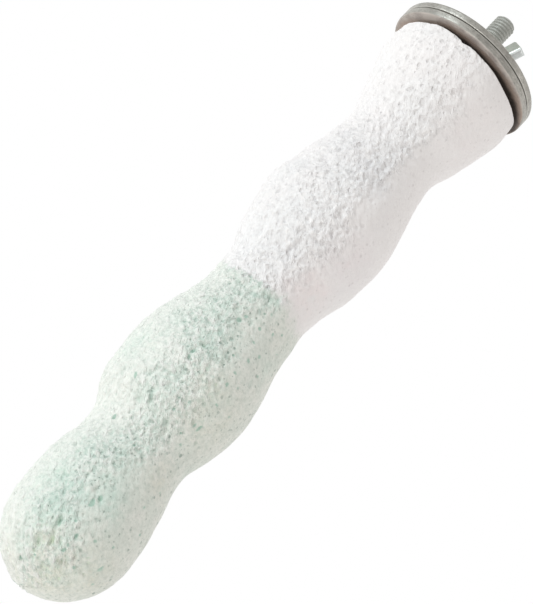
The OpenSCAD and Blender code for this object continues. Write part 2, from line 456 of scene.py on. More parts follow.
def folds(p):
    """Height of the folds."""
    tall = np.zeros(len(p))
    for t0, deg0, t1, deg1, height in FOLDS:
        t, angle = np.array([t0, t1], float), np.radians([deg0, deg1])
        a, b = on_stick(t, angle, radius(t))
        share = np.clip((p - a) @ (b - a) / ((b - a) @ (b - a)), 0, 1)
        far = ((p - a - share[:, None] * (b - a)) ** 2).sum(1)
        tall = np.maximum(tall, height * np.exp(-far / 0.42 ** 2))
    return tall


MARKS = ("pour", "rough", "worn", "pit", "teal", "straw", "cool", "blush", "spot")


def relief(p, t, angle):
    """Height of the surface over the plain outline, and the marks that the material reads:
    pour, how far beyond the change of colour, in steps of 8 mm; rough, 1 on the rough side;
    the lit-side mark, 1 on the side that faces the key light, where the material paints light in as a paler colour with
    fainter hollows, and where the relief is smoothed;
    pit, 1 in the deepest hollows; the clouds of colour; and spot, 1 in the middle of the small coloured hollows."""
    rough = rough_share(p, t, angle)
    deg = degrees(angle) + 8 * noise(p, 7, 441)
    early = 13 * smooth(t, 82, 92) + 20 * smooth(t, 108, 118) * (1 - 0.9 * smooth(t, 134, 148))
    # 1 on the side that faces the key light; the material paints light in there, as a paler colour with fainter hollows
    worn = smooth(deg + early, 34, 76) * (1 - smooth(deg, 125, 165))
    lumps = 0.22 * layers(p, 15, 201, 2) + 0.12 * noise(p, 6.5, 205)
    warp = np.stack([noise(p, 1.5, s) for s in (211, 212, 213)], 1)
    big = scoops(p + 0.34 * warp, 2.2, 0.60 * rough, 0.6, 1.3, 221, 0.5, UP)
    middling = scoops(p + 0.14 * warp, 1.3, 0.85 * rough, 0.40, 0.80, 222, 0.45, UP, 0.9)
    scrape = scoops(p + 0.2 * warp, 4.2, 0.22 * rough, 0.7, 1.3, 223, 0.86, UP)
    ridge = 1 - np.abs(noise(p, 2.4, 241)) * 1.6
    tall = p - 0.5 * (p @ UP)[:, None] * UP
    bumpy = noise(tall, 1.1, 231)
    fine = noise(p, 0.66, 232)
    up_rough = 0.12 + 0.18 * (ridge - 0.4) + 0.27 * noise(p, 3.6, 242) + 0.27 * bumpy + 0.08 * fine
    up_smooth = 0.05 + 0.05 * noise(p, 3.0, 262) + 0.035 * bumpy
    share = rough
    # the edge of the end is smoother from wear, and so is the side that faces the key light, which the material also
    # paints paler as painted light
    rough = rough * (0.45 + 0.55 * smooth(t, 0.3, 2.4)) * (1 - 0.20 * worn)
    long = (1.15 + 0.35 * smooth(t, 158, 166)) * dents(p + 0.2 * warp)
    spot = spots(p + 0.2 * warp)
    calm = 1 - 0.40 * (1 - smooth(t, 16, 36))
    big, middling, scrape = calm * big, calm * middling, calm * scrape
    height = (lumps + rough * up_rough + (1 - rough) * up_smooth
              - 0.40 * np.maximum(big, 0.9 * scrape) - 0.48 * middling - long - 0.22 * spot
              + folds(p + 0.25 * warp))
    pit = np.clip(np.maximum(middling, np.maximum(0.35 * np.maximum(big, scrape), 0.8 * long)), 0, 1)

    pour = np.clip((t - pour_line(angle)) / 8, -1, 1)
    return (height, pour, share, worn, pit, cloud(TEAL, p, t, angle), cloud(STRAW, p, t, angle),
            cloud(COOL, p, t, angle), cloud(BLUSH, p, t, angle), spot)


class Shell:
    """Rings of a casting, worked and marked all at once."""

    def __init__(self, mint):
        self.rings, self.mint = [], mint

    def add(self, t, angle, r, normal=None):
        t, angle, r = (np.array(x, float) for x in np.broadcast_arrays(t, angle, r))
        self.rings.append((t, angle, r, normal))

    def plain(self, t, angle, r):
        """A ring of an inner face, which stays smooth."""
        self.add(t, angle, r)

    def worked(self, t, angle, r=None, normal=None):
        """A ring of the outer surface."""
        t = np.broadcast_to(t, angle.shape)
        self.add(t, angle, radius(t) if r is None else r, flank_normal(t, angle) if normal is None else normal)

    def finish(self):
        """The rings' points, and the marks of them all in one row."""
        t, angle, r = (np.concatenate([x[k] for x in self.rings]) for k in (0, 1, 2))
        p = on_stick(t, angle, r)
        live = np.concatenate([np.full(len(x[0]), x[3] is not None) for x in self.rings])
        normal = np.concatenate([np.zeros((len(x[0]), 3)) if x[3] is None else x[3] for x in self.rings])
        marks = {name: np.full(len(t), 2.0 * self.mint - 1 if name == "pour" else 0.0) for name in MARKS}
        height, *found = in_threads(relief, p[live], t[live], angle[live])
        p[live] += normal[live] * height[:, None]
        for name, v in zip(MARKS, found):
            marks[name][live] = v
        cut = np.cumsum([len(x[0]) for x in self.rings])[:-1]
        return np.split(p, cut), marks


def columns(n):
    """Angles round the stick, closer together on the rough side."""
    a = np.linspace(-math.pi, math.pi, 2001)
    deg = np.degrees(a)
    density = 0.60 + 0.65 * smooth(deg, -40, -15) + 0.65 * (1 - smooth(deg, -172, -152))
    total = np.concatenate([[0], np.cumsum((density[1:] + density[:-1]) / 2)])
    return np.interp(np.arange(n) / n * total[-1], total, a)


def make_castings():
    n = 292 // COARSE
    angles = columns(n)
    deg = degrees(angles)
    line = pour_line(angles)
    pocket_line = POUR_AT + POUR_SLOPE * POCKET_R * np.cos(angles)
    joint = [(pocket_line + (line - pocket_line) * k, POCKET_R + (radius(line) - POCKET_R) * k)
             for k in (0.75, 0.5, 0.25)]

    # white: outer surface, joint face, pocket, bore of the shoulder, end face, end edge
    shell = Shell(0)
    edge = curve_through(END_EDGE, 1, deg)
    edge = edge + 0.05 * noise(on_stick(0 * angles, angles, 19.3), 2.2, 431)
    corner = 0.5 + 0.5 * smooth(deg, 68, 84) * (1 - smooth(deg, 110, 130))
    rows = 300 // COARSE
    for k in range(rows + 1):
        shell.worked(edge + corner + (line - edge - corner) * k / rows, angles)
    for t, r in joint:
        shell.plain(t, angles, r)
    for t in (pocket_line, (pocket_line + POCKET_FROM) / 2, POCKET_FROM):
        shell.plain(t, angles, POCKET_R)
    for t in (POCKET_FROM, 3.4, 0.6):
        shell.plain(t, angles, SHOULDER_R + 0.02)
    rim = radius(edge) - corner
    for k in (0, 0.1, 0.22, 0.34, 0.46, 0.58, 0.69, 0.79, 0.88, 0.95, 1.0):
        r = SHOULDER_R + 0.27 + (rim - SHOULDER_R - 0.27) * k
        shell.worked(0.3 + (edge - 0.3) * smooth(np.float64(k), 0.6, 1.0), angles, r, np.tile(-AXIS, (n, 1)))
    for phi in (72, 54, 36, 18):
        c, s = math.cos(math.radians(phi)), math.sin(math.radians(phi))
        normal = c * flank_normal(edge + corner, angles) - s * AXIS
        shell.worked(edge + corner * (1 - s), angles, radius(edge + corner) - corner * (1 - c), normal)
    rings, marks = shell.finish()
    points, faces = skin(rings, closed=True)
    # the rings from the outer surface to the pocket lie in the joint face
    white = mesh_object("white_casting_rough", points, faces, range(rows * n, (rows + 4) * n))
    mark(white, **marks)

    # mint: pocket floor, pocket wall, joint face, outer surface, nose
    shell = Shell(1)
    for r in (2.0, 4.0):
        shell.plain(POCKET_TO, angles, r)
    for t in (POCKET_TO, (pocket_line + POCKET_TO) / 2, pocket_line):
        shell.plain(t, angles, POCKET_R)
    for t, r in joint[::-1]:
        shell.plain(t, angles, r)
    rows = 245 // COARSE
    for k in range(rows + 1):
        shell.worked(line + (160.0 - line) * k / rows, angles)
    # equal steps along the outline of the nose
    s = np.linspace(160.0, LENGTH, 4001)
    arc_len = np.concatenate([[0], np.cumsum(np.hypot(np.diff(s), np.diff(radius(s))))])
    steps = int(arc_len[-1] / (0.33 * COARSE))
    a = angles
    for k in range(1, steps):
        t = float(np.interp(arc_len[-1] * k / steps, arc_len, s))
        while len(a) % 2 == 0 and len(a) > 24 and radius(np.array([t]))[0] * 2 * math.pi / len(a) < 0.17 * COARSE:
            a = a[::2]
        shell.worked(np.full(len(a), t), a)
    shell.worked(np.array([LENGTH]), np.array([0.0]), np.array([0.0]), AXIS[None, :])
    rings, marks = shell.finish()
    tip = rings.pop()[0]
    floor = on_stick(np.array([POCKET_TO]), np.array([0.0]), np.array([0.0]))[0]
    points, faces = skin(rings, start=floor, end=tip)
    mint = mesh_object("mint_casting_rough", points, faces, range(4 * n, 8 * n))
    # the points of the floor and the tip come last
    for name, v in marks.items():
        marks[name] = np.concatenate([v[:-1], v[:1], v[-1:]])
    mark(mint, **marks)
    return white, mint


# ---------------------------------------------------------------- materials

class Nodes:
    """Short names for building a material's node tree."""

    def __init__(self, name):
        self.mat = bpy.data.materials.new(name)
        self.mat.use_nodes = True
        self.tree = self.mat.node_tree
        self.tree.nodes.clear()
        self.out = self.add("ShaderNodeOutputMaterial")
        self.bsdf = self.add("ShaderNodeBsdfPrincipled")
        self.link(self.bsdf.outputs[0], self.out.inputs[0])

    def add(self, kind, **values):
        n = self.tree.nodes.new(kind)
        for k, v in values.items():
            setattr(n, k, v)
        return n

    def link(self, a, b):
        self.tree.links.new(a, b)

    def put(self, socket, value):
        if isinstance(value, bpy.types.NodeSocket):
            self.link(value, socket)
        elif isinstance(value, (tuple, list)) and len(value) == 3 and socket.type == "RGBA":
            socket.default_value = (*value, 1)
        else:
            socket.default_value = value

    def place(self):
        return self.add("ShaderNodeTexCoord").outputs["Object"]

    def attribute(self, name):
        return self.add("ShaderNodeAttribute", attribute_name=name).outputs["Fac"]

    def noise(self, where, size, detail=2.0, rough=0.5, distortion=0.0):
        """Noise with bumps about size millimetres wide, from 0 to 1."""
        n = self.add("ShaderNodeTexNoise")
        self.put(n.inputs["Vector"], where)
        n.inputs["Scale"].default_value = 1 / (size * MM)
        n.inputs["Detail"].default_value = detail
        n.inputs["Roughness"].default_value = rough
        n.inputs["Distortion"].default_value = distortion
        return n.outputs["Fac"]

    def remap(self, value, a, b, c=0.0, d=1.0, kind="SMOOTHSTEP"):
        n = self.add("ShaderNodeMapRange", interpolation_type=kind)
        for i, v in enumerate((value, a, b, c, d)):
            self.put(n.inputs[i], v)
        return n.outputs[0]

    def math(self, how, a, b=0.0, c=0.0):
        n = self.add("ShaderNodeMath", operation=how)
        for i, v in enumerate((a, b, c)):
            self.put(n.inputs[i], v)
        return n.outputs[0]

    def mix(self, share, a, b, how="MIX"):
        n = self.add("ShaderNodeMix", data_type="RGBA", blend_type=how)
        self.put(n.inputs[0], share)
        self.put(n.inputs[6], a)
        self.put(n.inputs[7], b)
        return n.outputs[2]

    def bump(self, height, distance, strength=1.0, normal=None):
        n = self.add("ShaderNodeBump")
        n.inputs["Distance"].default_value = distance * MM
        n.inputs["Strength"].default_value = strength
        self.put(n.inputs["Height"], height)
        if normal is not None:
            self.link(normal, n.inputs["Normal"])
        return n.outputs[0]

    def stretch(self, where, x, y, z):
        n = self.add("ShaderNodeVectorMath", operation="MULTIPLY")
        self.put(n.inputs[0], where)
        n.inputs[1].default_value = (x, y, z)
        return n.outputs[0]


def pores(m, where, size, low, high, chance, shape="bowl"):
    """Small round hollows at random: 1 in the middle of one. Radii are shares of the distance between them."""
    cells = m.add("ShaderNodeTexVoronoi", feature="F1")
    m.put(cells.inputs["Vector"], where)
    cells.inputs["Scale"].default_value = 1 / (size * MM)
    parts = m.add("ShaderNodeSeparateColor")
    m.link(cells.outputs["Color"], parts.inputs[0])
    r = m.remap(parts.outputs[0], 0, 1, low, high, "LINEAR")
    if shape == "bowl":
        q = m.math("DIVIDE", cells.outputs["Distance"], r)
        dot = m.math("MAXIMUM", m.math("SUBTRACT", 1.0, m.math("MULTIPLY", q, q)), 0.0)
        dot = m.math("MULTIPLY", dot, m.remap(parts.outputs[2], 0, 1, 0.5, 1.0, "LINEAR"))
    else:
        dot = m.remap(m.math("SUBTRACT", r, cells.outputs["Distance"]), 0.0, 0.4 * low)
    there = m.math("LESS_THAN", parts.outputs[1], chance)
    return m.math("MULTIPLY", dot, there)


def warped(m, where, size, amount, squeeze=0.0, along=UP):
    """The place moved about by noise, in millimetres, and squeezed along a direction."""
    n = m.add("ShaderNodeTexNoise")
    m.put(n.inputs["Vector"], where)
    n.inputs["Scale"].default_value = 1 / (size * MM)
    n.inputs["Detail"].default_value = 1.0
    off = m.add("ShaderNodeVectorMath", operation="SUBTRACT")
    m.link(n.outputs["Color"], off.inputs[0])
    off.inputs[1].default_value = (0.5, 0.5, 0.5)
    move = m.add("ShaderNodeVectorMath", operation="SCALE")
    m.link(off.outputs[0], move.inputs[0])
    move.inputs["Scale"].default_value = 2 * amount * MM
    total = m.add("ShaderNodeVectorMath", operation="ADD")
    m.put(total.inputs[0], where)
    m.link(move.outputs[0], total.inputs[1])
    if not squeeze:
        return total.outputs[0]
    dot = m.add("ShaderNodeVectorMath", operation="DOT_PRODUCT")
    m.link(total.outputs[0], dot.inputs[0])
    dot.inputs[1].default_value = tuple(along)
    back = m.add("ShaderNodeVectorMath", operation="SCALE")
    back.inputs[0].default_value = tuple(-squeeze * along)
    m.link(dot.outputs["Value"], back.inputs["Scale"])
    out = m.add("ShaderNodeVectorMath", operation="ADD")
    m.link(total.outputs[0], out.inputs[0])
    m.link(back.outputs[0], out.inputs[1])
    return out.outputs[0]


def mineral(name):
    m = Nodes(name)
    where = m.place()
    pour, rough, worn, pit, teal, straw, cool, blush, spot = (m.attribute(k) for k in MARKS)
    plain = m.math("SUBTRACT", 1.0, rough)
    # painted light: towards the side that faces the key light, the dark hollows, pores, dots, speckles and small teal
    # clouds are painted fainter
    lit_fade = m.remap(worn, 0, 1, 1.0, 0.32, "LINEAR")

    def some(share, value):
        return m.math("MULTIPLY", value, share)

    def plus(a, b):
        return m.math("ADD", a, b)

    def swing(value):
        """Noise from about -1 to 1."""
        return m.math("MULTIPLY_ADD", value, 4.0, -2.0)

    tall = warped(m, where, 1.6, 0.30, 0.55)
    crisp = m.noise(tall, 1.45, 3, 0.62)
    mottle = m.noise(where, 1.1, 3, 0.65)
    # the low parts of the bump relief, which are darkened further down with painted shade
    low_part = m.math("MULTIPLY", m.remap(crisp, 0.49, 0.31), lit_fade)
    high_part = m.remap(crisp, 0.52, 0.68)

    # the two pours run into each other over a few millimetres, more softly on the smooth side
    fray = plus(some(1.1, swing(m.noise(where, 3.2, 2))), some(0.9, swing(mottle)))
    reach = m.remap(rough, 0, 1, 3.4, 1.0, "LINEAR")
    mint = m.remap(plus(some(8.0, pour), fray), some(-1.0, reach), reach)

    # white pour: nearly neutral, with faint warm and cool clouds
    white = m.mix(m.remap(m.noise(where, 22, 2), 0.35, 0.65), (0.957, 0.953, 0.957), (0.940, 0.957, 0.965))
    white = m.mix(plain, white, (0.889, 0.885, 0.882))
    white = m.mix(some(0.7, cool), white, (0.825, 0.848, 0.868))
    white = m.mix(some(0.6, blush), white, (0.905, 0.835, 0.835))
    white = m.mix(m.remap(mottle, 0.35, 0.70, 0.0, 0.12), white, (0.72, 0.70, 0.70))

    # mint pour: pale, with deeper clouds and a little straw colour
    deep = m.remap(m.noise(where, 11, 3, 0.6), 0.40, 0.68)
    green = m.mix(some(0.6, deep), (0.925, 0.965, 0.920), (0.750, 0.895, 0.818))
    small = m.math("MULTIPLY", m.remap(m.noise(where, 2.4, 3, 0.6), 0.50, 0.78), lit_fade)
    green = m.mix(some(0.32, small), green, (0.620, 0.790, 0.715))
    cloudy = m.mix(m.remap(m.noise(where, 4.5, 3, 0.6), 0.36, 0.66), (0.802, 0.828, 0.772), (0.722, 0.772, 0.715))
    green = m.mix(some(0.75, plain), green, cloudy)
    # painted light: on the side that faces the key light the mint is painted paler, and its teal clouds are paler there
    # too
    green = m.mix(some(0.84, worn), green, (0.928, 0.965, 0.920))
    green = m.mix(m.math("MULTIPLY", teal, m.remap(mottle, 0.30, 0.66, 0.36, 0.74)), green,
                  m.mix(worn, (0.560, 0.770, 0.685), (0.720, 0.950, 0.830)))
    green = m.mix(some(0.65, straw), green, m.mix(plain, (0.885, 0.905, 0.805), (0.715, 0.733, 0.632)))
    speckle = m.math("MULTIPLY", m.remap(mottle, 0.38, 0.68, 0.0, 0.54), lit_fade)
    green = m.mix(speckle, green, m.mix(plain, (0.520, 0.680, 0.600), (0.600, 0.660, 0.605)))

    # ridges are painted paler; colour gathers in the hollows and in small dots, and the hollows are darkened with
    # painted shade as well
    bent = warped(m, where, 1.2, 0.24, 0.45)
    pocks = m.math("MAXIMUM", pores(m, bent, 1.80, 0.20, 0.42, 0.80), some(0.7, pores(m, bent, 1.05, 0.20, 0.42, 0.65)))
    partly = plus(plus(rough, some(0.22, mint)), some(0.5, m.noise(where, 2.5)))
    pocks = m.math("MULTIPLY", pocks, m.remap(partly, 0.35, 0.95))
    pocks = m.math("MULTIPLY", pocks, m.math("MULTIPLY", lit_fade, m.remap(straw, 0.2, 1, 1.0, 0.45, "LINEAR")))
    dots = m.math("MAXIMUM", pores(m, warped(m, where, 1.0, 0.14), 1.60, 0.10, 0.37, 0.58),
                  some(0.6, pores(m, where, 1.0, 0.14, 0.36, 0.50)))
    dots = m.remap(dots, 0.0, 0.7, 0.0, 1.0, "LINEAR")
    dots = m.math("MULTIPLY", dots, m.remap(straw, 0.2, 1, 1.0, 0.3, "LINEAR"))
    dots = m.math("MULTIPLY", dots, m.remap(m.noise(where, 5.5, 2), 0.38, 0.58, 0.45, 1.1, "LINEAR"))
    dots = m.math("MULTIPLY", dots, m.math("MULTIPLY", m.remap(mint, 0, 1, 0.32, 1.0, "LINEAR"), lit_fade))
    # painted shade: the hollows of the bump relief, the deep pits of the mesh and the pores are darkened, grey on the
    # white; on the mint the darkening also carries teal colour that gathers there
    in_rough = m.math("MULTIPLY", low_part, rough)
    deep_pit = m.remap(pit, 0.25, 0.95)
    white = m.mix(some(0.26, in_rough), white, (0.70, 0.70, 0.705))
    white = m.mix(some(0.18, deep_pit), white, (0.64, 0.62, 0.62))
    white = m.mix(some(0.40, pocks), white, (0.58, 0.56, 0.55))
    white = m.mix(dots, white, (0.50, 0.48, 0.48))
    green = m.mix(some(0.34, in_rough), green, m.mix(straw, (0.47, 0.64, 0.56), (0.62, 0.68, 0.53)))
    green = m.mix(m.math("MULTIPLY", deep_pit, m.remap(straw, 0, 1, 0.30, 0.65, "LINEAR")), green,
                  m.mix(straw, (0.43, 0.61, 0.53), (0.71, 0.90, 0.64)))
    green = m.mix(some(0.66, pocks), green, m.mix(straw, (0.32, 0.48, 0.41), (0.41, 0.45, 0.33)))
    green = m.mix(some(0.74, dots), green, (0.29, 0.39, 0.34))
    green = m.mix(some(0.70, m.remap(spot, 0.0, 0.6)), green, (0.34, 0.56, 0.46))
    ridges = m.math("MULTIPLY", high_part, rough)
    white = m.mix(some(0.70, ridges), white, (0.985, 0.985, 0.980))
    green = m.mix(some(0.70, ridges), green, m.mix(teal, (0.950, 0.985, 0.955), (0.860, 0.960, 0.905)))
    colour = m.mix(mint, white, green)
    m.put(m.bsdf.inputs["Base Color"], colour)
    m.put(m.bsdf.inputs["Roughness"], m.remap(rough, 0, 1, 0.72, 0.92, "LINEAR"))
    m.bsdf.inputs["Specular IOR Level"].default_value = 0.25

    # heights in millimetres
    grain = m.noise(where, 0.42, 3, 0.6)
    height = plus(some(0.14, grain), m.math("MULTIPLY", crisp, m.remap(mint, 0, 1, 1.15, 1.45, "LINEAR")))
    height = m.math("MULTIPLY", height, m.math("MAXIMUM", rough, m.remap(mint, 0, 1, 0.24, 0.37, "LINEAR")))
    height = m.math("MULTIPLY", height, m.remap(worn, 0, 1, 1.0, 0.95, "LINEAR"))
    height = m.math("SUBTRACT", height, plus(some(0.34, pocks), some(0.16, dots)))
    m.put(m.bsdf.inputs["Normal"], m.bump(height, 1.0, 1.0))
    return m.mat


def metal(name, colour, dark, rough=0.42, metallic=0.8, washer=False, uneven=0.05, rubbed=False):
    """Dull plated steel. A washer is marked round its rim, and its face next to the stick is dusty and darkened with
    painted shade.
    The last flag lays a painted highlight, a pale colour, where a mark on the mesh is 1."""
    m = Nodes(name)
    where = m.place()
    streak = m.noise(where, 0.45, 3, 0.65)
    blotch = m.remap(m.noise(where, 3.0, 4, 0.65), 0.38, 0.66)
    tone = m.mix(m.math("MULTIPLY", blotch, 0.7), colour, dark)
    tone = m.mix(m.remap(streak, 0.40, 0.70, 0.0, 0.5), tone, dark)
    shine = metallic
    gloss = m.remap(streak, 0.3, 0.7, rough - 0.07, rough + 0.09)
    if washer:
        part = m.add("ShaderNodeSeparateXYZ")
        m.link(where, part.inputs[0])
        x, y, z = (m.math("DIVIDE", part.outputs[k], MM) for k in range(3))
        # rolling marks along the rim, and its edges painted lighter near both faces
        marks = m.noise(m.stretch(where, 1, 3.2, 1), 1.1, 3, 0.7)
        tone = m.mix(m.remap(marks, 0.56, 0.72, 0.0, 0.75), tone, tuple(0.4 * c for c in dark))
        tone = m.mix(m.remap(marks, 0.46, 0.30, 0.0, 0.45), tone, (0.66, 0.66, 0.62))
        off = m.math("ABSOLUTE", m.math("SUBTRACT", m.math("ABSOLUTE", y), 1.15))
        tone = m.mix(m.remap(off, 0.62, 0.95, 0.0, 0.55), tone, (0.70, 0.70, 0.66))
        # the face next to the stick: pale dusty colour outside, then a brown band, partly stain and partly a painted
        # reflection of the stick, then painted shade, dark next to the stick; the painted shade reaches furthest where
        # the stick covers the face, and less far on the front and on the upper-left side, where the light falls
        r = m.math("SQRT", m.math("ADD", m.math("MULTIPLY", x, x), m.math("MULTIPLY", z, z)))
        side = m.math("ADD", m.math("MULTIPLY", x, float(SIDE[0])), m.math("MULTIPLY", z, float(SIDE[2])))
        front = m.math("ADD", m.math("MULTIPLY", x, float(FACING[0])), m.math("MULTIPLY", z, float(FACING[2])))
        hidden = m.math("MULTIPLY", m.math("MAXIMUM", m.math("DIVIDE", front, r), 0.0), 4.1)
        wander = m.math("MULTIPLY_ADD", m.noise(where, 2.6, 3, 0.6), 1.8, -0.9)
        u = m.math("ADD", m.math("ADD", r, m.math("ADD", hidden, m.remap(side, 9.0, 17.0, 0.0, 3.0))), wander)
        near = m.remap(y, -1.82, -2.10)
        dust_and_painted_shade = m.mix(m.remap(m.noise(where, 3.2, 4, 0.65), 0.38, 0.64), (0.54, 0.50, 0.46), (0.38, 0.345, 0.32))
        dust_and_painted_shade = m.mix(m.remap(u, 24.0, 22.0, 0.0, 0.85), dust_and_painted_shade, (0.40, 0.315, 0.26))
        # painted shade, dark next to the stick
        dust_and_painted_shade = m.mix(m.remap(u, 22.0, 20.1), dust_and_painted_shade, (0.07, 0.055, 0.045))
        tone = m.mix(near, tone, dust_and_painted_shade)
        shine = m.remap(near, 0, 1, metallic, 0.2, "LINEAR")
        gloss = m.mix(near, gloss, (0.6, 0.6, 0.6))
    # painted highlight: a pale colour on the rolled outer edges of the wings
    if rubbed:
        tone = m.mix(m.math("MULTIPLY", m.attribute("rub"), 0.8), tone, (0.76, 0.81, 0.82))
    m.put(m.bsdf.inputs["Base Color"], tone)
    m.put(m.bsdf.inputs["Metallic"], shine)
    m.put(m.bsdf.inputs["Roughness"], gloss)
    m.put(m.bsdf.inputs["Normal"], m.bump(streak, uneven, 0.7))
    return m.mat


def wood(name):
    m = Nodes(name)
    where = m.place()
    grain = m.noise(m.stretch(where, 1, 0.06, 1), 0.9, 4, 0.6)
    rings = m.noise(m.stretch(where, 1, 0.12, 1), 3.5, 2, 0.5, 0.4)
    tone = m.mix(m.remap(grain, 0.3, 0.7), (0.56, 0.38, 0.20), (0.78, 0.60, 0.38))
    tone = m.mix(m.remap(rings, 0.4, 0.65, 0, 0.5), tone, (0.50, 0.33, 0.17))
    m.put(m.bsdf.inputs["Base Color"], tone)
    m.bsdf.inputs["Roughness"].default_value = 0.7
    m.put(m.bsdf.inputs["Normal"], m.bump(grain, 0.08, 0.7))
    return m.mat


def wear(o, material):
    o.data.materials.clear()
    o.data.materials.append(material)


# ---------------------------------------------------------------- hardware

WIRE_GAP, WASHER_T, WASHER_R, WASHER_HOLE = 0.3, 2.0, 21.0, 3.25
BOLT_R, BOLT_OUT = 3.0, 19.0
SHOULDER_TO = -2.35
PITCH = 1.0
NUT_FROM, NUT_TURN = 2.35, 30.0


def round_y(profile, n):
    """Rings about the bolt's axis from (radius, y) pairs."""
    a = np.arange(n) * 2 * math.pi / n
    return [np.stack([r * np.sin(a), np.full(n, float(y)), r * np.cos(a)], 1) for r, y in profile]


def arc(cr, cy, radius_, a0, a1, n):
    """Points of an arc in (radius, y), angles in degrees from +radius towards +y."""
    return [(cr + radius_ * math.cos(math.radians(a0 + (a1 - a0) * k / n)),
             cy + radius_ * math.sin(math.radians(a0 + (a1 - a0) * k / n))) for k in range(n + 1)]


def make_washer(name, y0, seed, flip=False):
    """A stamped washer: one face rolls over softly at its edges, the other is sharper."""
    big, small = 0.55, 0.22
    low, high = (small, big) if flip else (big, small)
    y1 = y0 + WASHER_T
    ro, ri = WASHER_R, WASHER_HOLE
    profile = []
    profile += arc(ro - low, y0 + low, low, -90, 0, 7)
    profile += [(ro, y0 + WASHER_T * 0.45), (ro - 0.01, y0 + WASHER_T * 0.6)]
    profile += arc(ro - high, y1 - high, high, 0, 90, 6)
    profile += [(ro * k + (1 - k) * ri, y1) for k in (0.85, 0.6, 0.35, 0.12)]
    profile += arc(ri + 0.25, y1 - 0.25, 0.25, 90, 180, 4)
    profile += arc(ri + 0.35, y0 + 0.35, 0.35, 180, 270, 5)
    profile += [(ro * k + (1 - k) * ri, y0) for k in (0.12, 0.35, 0.6, 0.85)]

    points, faces = skin(round_y(profile, 240), closed=True)
    p = np.asarray(points)
    rr = np.hypot(p[:, 0], p[:, 2])
    out = smooth(rr, ro - 1.2, ro - 0.2)
    radial = np.stack([p[:, 0] / rr, 0 * rr, p[:, 2] / rr], 1)
    dent = 0.035 * layers(p, 5.0, seed) + 0.02 * noise(p * (1, 2.5, 1), 1.6, seed + 3)
    p = p + radial * (np.minimum(dent, 0.0) * out)[:, None]
    return mesh_object(name, p, faces)


def thread_height(x, crest=0.125, root=0.25):
    """Height from 0 in the root to 1 on the crest, for x in turns."""
    d = np.abs(x - np.floor(x) - 0.5) * 2
    return np.clip((1 - root - d) / (1 - crest - root), 0, 1)


def make_bolt():
    n = 96
    a = np.arange(n) * 2 * math.pi / n
    rings = []

    def ring(y, r):
        r = np.broadcast_to(r, a.shape)
        rings.append(np.stack([r * np.sin(a), np.full(n, float(y)), r * np.cos(a)], 1))

    # wood thread: coarse, sharp crests, running out to the point
    y = -40.2
    while y < -9.3:
        core = 1.95 * smooth(np.array([y]), -41.5, -33.0)[0] + 0.12
        height = (thread_height((y + 100) / 2.3 - a / (2 * math.pi), 0.04, 0.42)
                  * min(1, (y + 41.0) / 5.0) * min(1.0, (-9.6 - y) / 1.6 if y > -11.2 else 1.0))
        ring(y, np.minimum(core + 0.88 * np.maximum(height, 0), 2.97))
        y += 0.16
    # shank and shoulder
    for r, y in ((2.5, -9.2), (2.6, -8.76), (4.6, -8.75), (5.0, -8.4), (5.0, -2.8), (4.6, -2.36), (2.62, -2.35), (2.5, -2.2)):
        ring(y, r)
    # machine thread out to the chamfered end
    y = -2.1
    top = BOLT_OUT
    while y < top - 0.001:
        h = thread_height(y / PITCH - a / (2 * math.pi))
        r = 2.44 + 0.54 * h
        r = np.minimum(r, 2.98 - max(0.0, y - (top - 0.75)) * 0.95)
        r = np.minimum(r, 2.44 + max(0.0, (y + 1.9)) * 1.2)
        ring(y, r)
        y += 0.08
    ring(top - 0.01, 2.24)
    ring(top, 2.1)
    ring(top, 1.2)
    points, faces = skin(rings, start=(0, -40.4, 0), end=(0, top - 0.02, 0))
    return mesh_object("hanger_bolt_threaded", points, faces)


def polygon_distance(x, y, outline):
    """Signed distance from points to a closed outline, negative inside."""
    shape = np.broadcast(x, y).shape
    best = np.full(shape, 1e9)
    inside = np.zeros(shape, bool)
    n = len(outline)
    for i in range(n):
        ax, ay = outline[i]
        bx, by = outline[(i + 1) % n]
        ex, ey = bx - ax, by - ay
        length = ex * ex + ey * ey
        if length < 1e-12:
            continue
        k = np.clip(((x - ax) * ex + (y - ay) * ey) / length, 0, 1)
        best = np.minimum(best, (x - ax - k * ex) ** 2 + (y - ay - k * ey) ** 2)
        if abs(ey) > 1e-12:
            inside ^= ((ay > y) != (by > y)) & (x < ax + (y - ay) * ex / ey)
    best = np.sqrt(best)
    return np.where(inside, -best, best)


def blend_union(a, b, k):
    h = np.clip(0.5 + 0.5 * (b - a) / k, 0, 1)
    return b * (1 - h) + a * h - k * h * (1 - h)


def bend(c, rad, a0, a1, n=8):
    return [(c[0] + rad * math.cos(math.radians(a0 + (a1 - a0) * i / n)),
             c[1] + rad * math.sin(math.radians(a0 + (a1 - a0) * i / n))) for i in range(n + 1)]


BOSS_R, BOSS_H, BOSS_SOFT = 6.2, 6.5, 0.3
BOSS = [(0, BOSS_SOFT), (BOSS_R - BOSS_SOFT - 0.2, BOSS_SOFT), (BOSS_R - BOSS_SOFT, BOSS_SOFT + 0.3),
        (BOSS_R - BOSS_SOFT, 1.3), (BOSS_R - 1.25 - BOSS_SOFT, BOSS_H - 0.45),
        (BOSS_R - 1.75 - BOSS_SOFT, BOSS_H - BOSS_SOFT), (0, BOSS_H - BOSS_SOFT)]
WING = ([(2.0, 0.5), (7.4, 0.5)] + bend((6.6, 4.0), 3.5, -75, -35) + bend((12.2, 7.75), 0.8, -33, 72)
        + bend((9.6, 9.1), 0.7, 72, 150) + bend((5.5, 8.4), 2.6, -25, -88) + [(2.0, 5.6)])
WING_HALF, WING_EDGE, OUTER_EDGE = 1.45, 0.3, 1.0


